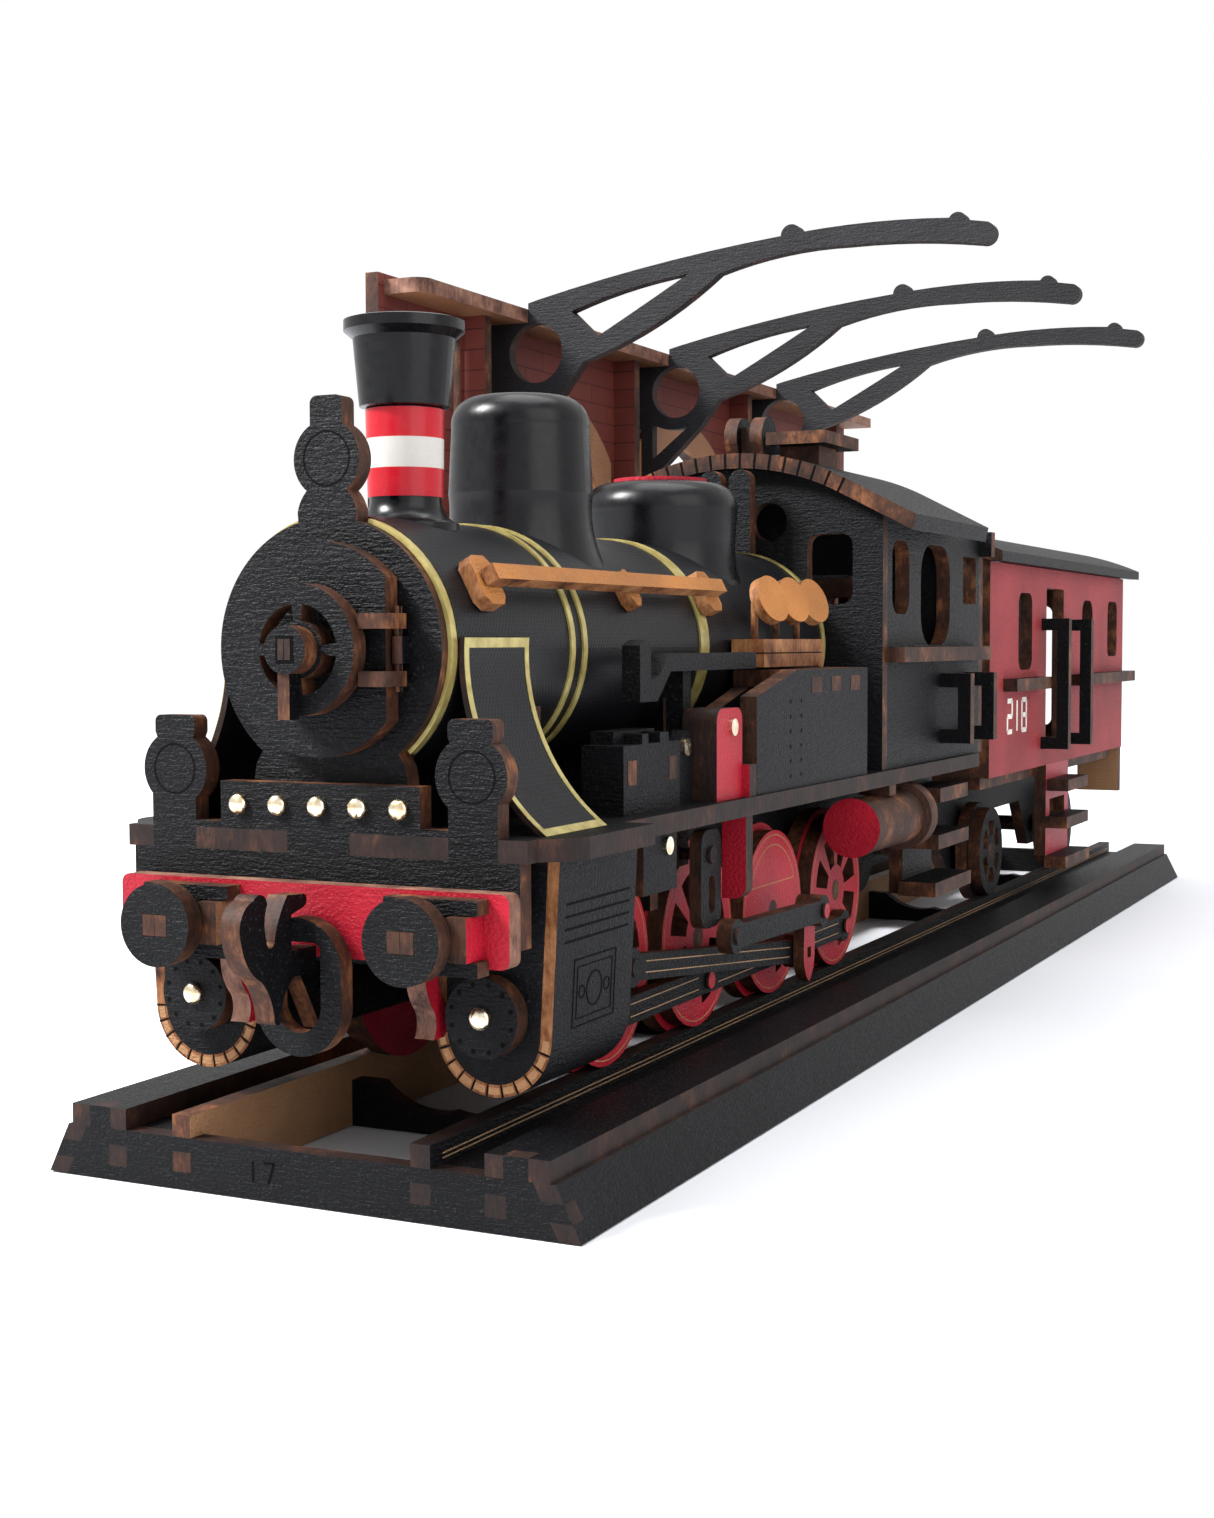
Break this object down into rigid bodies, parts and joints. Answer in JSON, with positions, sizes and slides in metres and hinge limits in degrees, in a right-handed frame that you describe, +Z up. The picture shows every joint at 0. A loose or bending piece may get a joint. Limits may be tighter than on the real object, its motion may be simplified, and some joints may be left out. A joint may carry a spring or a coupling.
{
  "type": "wooden model steam train on a display track",
  "caption": "Laser-cut wooden jigsaw model of a steam locomotive and carriage on a display track, with a station wall and canopy arms; wheels and rods turn.",
  "frame": {"origin": "middle of the bounding box's footprint, at the underside of the track", "axes": "+Z up, +Y from the locomotive's front towards the carriage along the track, +X to the open side away from the station wall"},
  "size_m": [0.1108, 0.4132, 0.152],
  "materials": {
    "black_board": "satin black paint on ply, burnt brown edges",
    "red_board": "satin red paint on ply, burnt brown edges",
    "bare_board": "bare ply with burnt edges",
    "orange_board": "orange stained ply",
    "gold_board": "pale gold card strip",
    "black_gloss": "gloss black",
    "rose_board": "matt rose red paint on ply, burnt brown edges",
    "brick_board": "matt red brown print on ply, burnt brown edges",
    "cream_board": "pale stained ply",
    "nail_brass": "polished"
  },
  "bodies": {
    "display_model": {"base_end_plates": "black_board", "base_side_panels": "black_board", "base_decks": "black_board", "inner_rails": "black_board", "base_channel_boards": "black_board", "platform_boards": "brick_board", "station_wall": "brick_board", "arch_trims": "cream_board", "wall_pilasters": "brick_board", "canopy_arms": "black_board", "buffer_beam": "red_board", "buffers": "black_board", "coupling_hook": "black_board", "front_plate": "black_board", "smokebox_plate": "black_board", "rail_guards": "red_board", "boiler_shell": "black_board", "boiler_bands": "gold_board", "chimney": "black_gloss", "steam_dome": "black_gloss", "sand_dome": "black_gloss", "smokebox_skirts": "black_board", "boiler_saddles": "black_board", "reach_rods": "black_board", "handrails": "orange_board", "gauges": "orange_board", "running_board": "black_board", "loco_frames": "black_board", "cylinder_plates": "black_board", "cylinder_wraps": "black_board", "pump_boxes": "black_board", "motion_brackets": "red_board", "side_tanks": "black_board", "air_tanks": "black_board", "cab_ends": "black_board", "cab_sides": "black_board", "cab_roof": "black_board", "roof_vent": "black_board", "cab_fittings": "black_board", "link_pivots": "black_board", "carriage_underframe": "black_board", "carriage_walls": "rose_board", "carriage_roof": "black_board", "carriage_fittings": "black_board", "brass_nails": "nail_brass"},
    "wheelset_1": {"wheelset_1": "red_board"},
    "wheelset_2": {"wheelset_2": "red_board"},
    "wheelset_3": {"wheelset_3": "red_board"},
    "wheelset_4": {"wheelset_4": "red_board"},
    "coupling_rods": {"coupling_rods": "black_board"},
    "main_rods": {"main_rods": "black_board"},
    "eccentric_rods": {"eccentric_rods": "black_board"},
    "expansion_links": {"expansion_links": "black_board"},
    "crossheads": {"crossheads": "black_board"},
    "coupling_link": {"coupling_link": "black_board"},
    "smokebox_door": {"smokebox_door": "black_board"},
    "hand_wheel": {"hand_wheel": "black_board"},
    "carriage_wheelset_1": {"carriage_wheelset_1": "black_board"},
    "carriage_wheelset_2": {"carriage_wheelset_2": "black_board"}
  },
  "joints": [
    {"name": "wheelset_3_spin", "type": "hinge", "parent": "display_model", "child": "wheelset_3", "pos_m": [0.01237, -0.07758, 0.0237], "axis": [1, 0, 0], "continuous": true},
    {"name": "wheelset_1_spin", "type": "hinge", "parent": "display_model", "child": "wheelset_1", "pos_m": [0.01237, -0.14358, 0.0237], "axis": [1, 0, 0], "continuous": true},
    {"name": "wheelset_2_spin", "type": "hinge", "parent": "display_model", "child": "wheelset_2", "pos_m": [0.01237, -0.11058, 0.0237], "axis": [1, 0, 0], "continuous": true},
    {"name": "wheelset_4_spin", "type": "hinge", "parent": "display_model", "child": "wheelset_4", "pos_m": [0.01237, -0.04458, 0.0237], "axis": [1, 0, 0], "continuous": true},
    {"name": "coupling_rods_turn", "type": "hinge", "parent": "wheelset_3", "child": "coupling_rods", "pos_m": [0.01237, -0.07908, 0.0173], "axis": [1, 0, 0], "continuous": true},
    {"name": "main_rods_turn", "type": "hinge", "parent": "wheelset_3", "child": "main_rods", "pos_m": [0.01237, -0.07908, 0.0173], "axis": [1, 0, 0], "continuous": true},
    {"name": "eccentric_rods_turn", "type": "hinge", "parent": "wheelset_3", "child": "eccentric_rods", "pos_m": [0.01237, -0.07878, 0.0245], "axis": [1, 0, 0], "continuous": true},
    {"name": "expansion_links_rock", "type": "hinge", "parent": "display_model", "child": "expansion_links", "pos_m": [0.01237, -0.12268, 0.0382], "axis": [1, 0, 0], "range_deg": [-8, 8]},
    {"name": "crossheads_slide", "type": "slide", "parent": "display_model", "child": "crossheads", "axis": [0, 1, 0], "range_m": [-0.005, 0.005]},
    {"name": "coupling_link_swing", "type": "hinge", "parent": "display_model", "child": "coupling_link", "pos_m": [0.01237, -0.19368, 0.03495], "axis": [1, 0, 0], "range_deg": [-16, 8]},
    {"name": "smokebox_door_open", "type": "hinge", "parent": "display_model", "child": "smokebox_door", "pos_m": [0.02362, -0.18653, 0.0693], "axis": [0, 0, 1], "range_deg": [0, 90]},
    {"name": "hand_wheel_turn", "type": "hinge", "parent": "smokebox_door", "child": "hand_wheel", "pos_m": [0.01237, -0.19198, 0.06925], "axis": [0, -1, 0], "continuous": true},
    {"name": "carriage_wheelset_1_spin", "type": "hinge", "parent": "display_model", "child": "carriage_wheelset_1", "pos_m": [0.01237, 0.06862, 0.0201], "axis": [1, 0, 0], "continuous": true},
    {"name": "carriage_wheelset_2_spin", "type": "hinge", "parent": "display_model", "child": "carriage_wheelset_2", "pos_m": [0.01237, 0.14462, 0.0201], "axis": [1, 0, 0], "continuous": true}
  ],
  "couplings": [
    {"joint": "wheelset_1_spin", "follows": "wheelset_3_spin", "ratio": 1},
    {"joint": "wheelset_2_spin", "follows": "wheelset_3_spin", "ratio": 1},
    {"joint": "wheelset_4_spin", "follows": "wheelset_3_spin", "ratio": 1},
    {"joint": "coupling_rods_turn", "follows": "wheelset_3_spin", "ratio": -1},
    {"joint": "main_rods_turn", "follows": "wheelset_3_spin", "ratio": -1},
    {"joint": "eccentric_rods_turn", "follows": "wheelset_3_spin", "ratio": -1}
  ]
}
